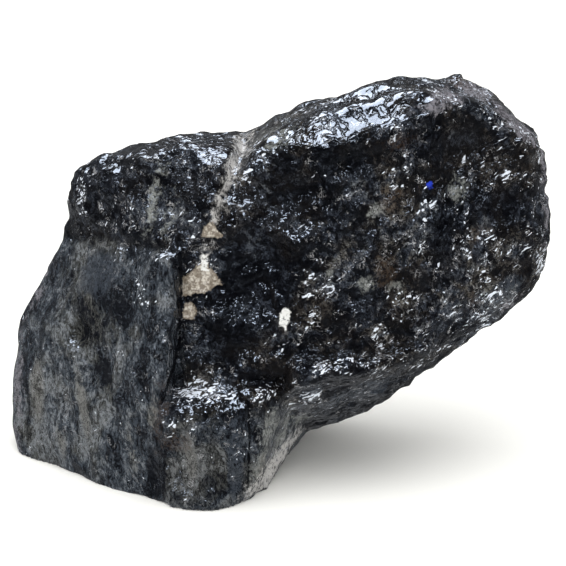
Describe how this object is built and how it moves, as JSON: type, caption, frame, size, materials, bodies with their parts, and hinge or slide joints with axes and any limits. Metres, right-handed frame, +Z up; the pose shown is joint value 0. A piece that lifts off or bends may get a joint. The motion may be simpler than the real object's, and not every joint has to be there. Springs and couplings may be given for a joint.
{
  "type": "rough morion",
  "caption": "Lump of near-black rough smoky quartz that stands on a flat broken foot, with its right half leaning out over the ground.",
  "frame": {"origin": "about the middle of the flat face that the stone stands on, at its level", "axes": "+X along the stone to the overhanging head, +Y into the stone from its best face, +Z up"},
  "size_m": [0.1523, 0.0907, 0.1082],
  "materials": {
    "morion": "glassy broken quartz, near-black with smoky brown, blue-grey veils and a few cream chips"
  },
  "bodies": {
    "root": {"morion": "morion"}
  },
  "joints": []
}
